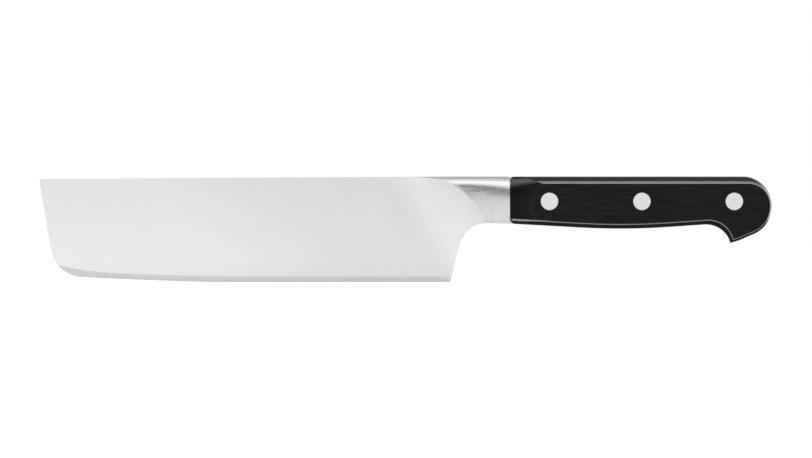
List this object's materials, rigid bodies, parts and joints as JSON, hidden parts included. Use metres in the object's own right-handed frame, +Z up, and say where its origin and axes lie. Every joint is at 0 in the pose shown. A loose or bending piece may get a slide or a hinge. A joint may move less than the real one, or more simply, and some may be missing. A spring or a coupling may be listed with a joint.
{
  "type": "nakiri knife",
  "caption": "Square-tipped vegetable knife: a forged blade, bolster and full tang in one piece, between riveted black handle scales with a hooked butt.",
  "frame": {"origin": "under the middle of the knife, at the height of the cutting edge, in the blade's middle plane", "axes": "+X from the tip towards the butt, +Y across the blade's thickness towards the knife's right side, +Z up from the cutting edge to the spine"},
  "size_m": [0.303, 0.017, 0.0436],
  "materials": {
    "blade_steel": "fine ground stainless steel, satin on the bolster",
    "handle_plastic": "black moulded acetal, flats ground fine, shoulders polished",
    "rivet_steel": "satin, ground flush with the scales"
  },
  "bodies": {
    "root": {"forged_blade": "blade_steel", "left_scale": "handle_plastic", "right_scale": "handle_plastic", "front_rivet_sleeve": "rivet_steel", "front_rivet_pin": "rivet_steel", "middle_rivet_sleeve": "rivet_steel", "middle_rivet_pin": "rivet_steel", "rear_rivet_sleeve": "rivet_steel", "rear_rivet_pin": "rivet_steel"}
  },
  "joints": []
}
